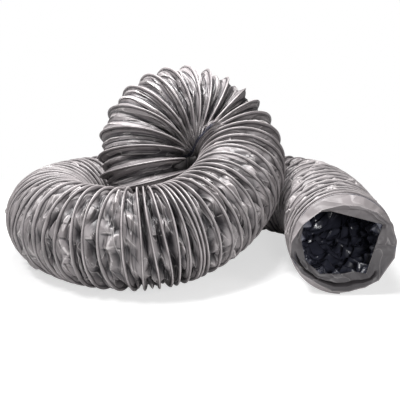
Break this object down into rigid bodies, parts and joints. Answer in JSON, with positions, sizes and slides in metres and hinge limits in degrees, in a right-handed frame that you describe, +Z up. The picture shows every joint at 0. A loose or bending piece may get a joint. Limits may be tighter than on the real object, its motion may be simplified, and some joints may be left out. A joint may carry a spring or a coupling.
{
  "type": "flexible air duct",
  "caption": "Long flexible duct of coated fabric on a spring wire helix with a sewn wear strip and plain cuffs, lying in one coil.",
  "frame": {"origin": "on the floor, under the middle of the whole duct as it lies", "axes": "+Z up, -Y out of the free end's mouth, +X from the coil towards the free end"},
  "size_m": [0.8964, 0.7371, 0.4666],
  "materials": {
    "cuff": "satin coated fabric",
    "fabric": "satin coated fabric",
    "strip": "satin coated fabric",
    "wire": "drawn spring wire"
  },
  "bodies": {
    "coil": {"hidden_cuff": "cuff", "fabric_back": "fabric", "wire_back": "wire", "strip_foot_back": "strip", "strip_back": "strip", "fabric_coil_left": "fabric", "wire_coil_left": "wire", "strip_foot_coil_left": "strip", "strip_coil_left": "strip", "fabric_coil_front": "fabric", "wire_coil_front": "wire", "strip_foot_coil_front": "strip", "strip_coil_front": "strip", "fabric_coil_right": "fabric", "wire_coil_right": "wire", "strip_foot_coil_right": "strip", "strip_coil_right": "strip", "fabric_arch": "fabric", "wire_arch": "wire", "strip_foot_arch": "strip", "strip_arch": "strip", "fabric_drop": "fabric", "wire_drop": "wire", "strip_foot_drop": "strip", "strip_drop": "strip"},
    "turn_10": {"fabric_turn_10": "fabric", "wire_turn_10": "wire", "strip_turn_10": "strip"},
    "turn_9": {"fabric_turn_9": "fabric", "wire_turn_9": "wire", "strip_turn_9": "strip"},
    "turn_8": {"fabric_turn_8": "fabric", "wire_turn_8": "wire", "strip_turn_8": "strip"},
    "turn_7": {"fabric_turn_7": "fabric", "wire_turn_7": "wire", "strip_turn_7": "strip"},
    "turn_6": {"fabric_turn_6": "fabric", "wire_turn_6": "wire", "strip_turn_6": "strip"},
    "turn_5": {"fabric_turn_5": "fabric", "wire_turn_5": "wire", "strip_turn_5": "strip"},
    "turn_4": {"fabric_turn_4": "fabric", "wire_turn_4": "wire", "strip_turn_4": "strip"},
    "turn_3": {"fabric_turn_3": "fabric", "wire_turn_3": "wire", "strip_turn_3": "strip"},
    "free_end": {"mouth_cuff": "cuff", "fabric_mouth": "fabric", "fabric_turn_2": "fabric", "wire_mouth": "wire", "strip_mouth": "strip"}
  },
  "joints": [
    {"name": "swing_10", "type": "hinge", "parent": "coil", "child": "turn_10", "pos_m": [0.31525, 0.11213, 0.11029], "axis": [0, 0, 1], "range_deg": [-1, 12], "deforming": ["fabric_turn_10"]},
    {"name": "lift_9", "type": "hinge", "parent": "turn_10", "child": "turn_9", "pos_m": [0.32938, 0.06916, 0.11029], "axis": [-0.9796, -0.2008, 0], "range_deg": [0, 10], "deforming": ["fabric_turn_9"]},
    {"name": "swing_8", "type": "hinge", "parent": "turn_9", "child": "turn_8", "pos_m": [0.33455, 0.02757, 0.11029], "axis": [0, 0, 1], "range_deg": [-1, 12], "deforming": ["fabric_turn_8"]},
    {"name": "stretch_7", "type": "slide", "parent": "turn_8", "child": "turn_7", "axis": [0.0083, -1, 0], "range_m": [-0.018, 0.018], "deforming": ["fabric_turn_7"]},
    {"name": "lift_6", "type": "hinge", "parent": "turn_7", "child": "turn_6", "pos_m": [0.33547, -0.05515, 0.11029], "axis": [-0.9994, 0.0333, 0], "range_deg": [0, 10], "deforming": ["fabric_turn_6"]},
    {"name": "stretch_5", "type": "slide", "parent": "turn_6", "child": "turn_5", "axis": [-0.066, -0.9978, 0], "range_m": [-0.018, 0.018], "deforming": ["fabric_turn_5"]},
    {"name": "swing_4", "type": "hinge", "parent": "turn_5", "child": "turn_4", "pos_m": [0.32995, -0.13878, 0.11029], "axis": [0, 0, 1], "range_deg": [-1, 12], "deforming": ["fabric_turn_4"]},
    {"name": "stretch_3", "type": "slide", "parent": "turn_4", "child": "turn_3", "axis": [-0.1051, -0.9945, 0], "range_m": [-0.018, 0.018], "deforming": ["fabric_turn_3"]},
    {"name": "lift_mouth", "type": "hinge", "parent": "turn_3", "child": "free_end", "pos_m": [0.32168, -0.22242, 0.11029], "axis": [-0.9975, 0.0712, 0], "range_deg": [0, 5], "deforming": ["fabric_turn_2"]}
  ],
  "couplings": [
    {"joint": "swing_8", "follows": "swing_10", "ratio": 1},
    {"joint": "lift_6", "follows": "lift_9", "ratio": 1},
    {"joint": "stretch_5", "follows": "stretch_7", "ratio": 1},
    {"joint": "swing_4", "follows": "swing_10", "ratio": 1},
    {"joint": "stretch_3", "follows": "stretch_7", "ratio": 1},
    {"joint": "lift_mouth", "follows": "lift_9", "ratio": 0.5}
  ]
}
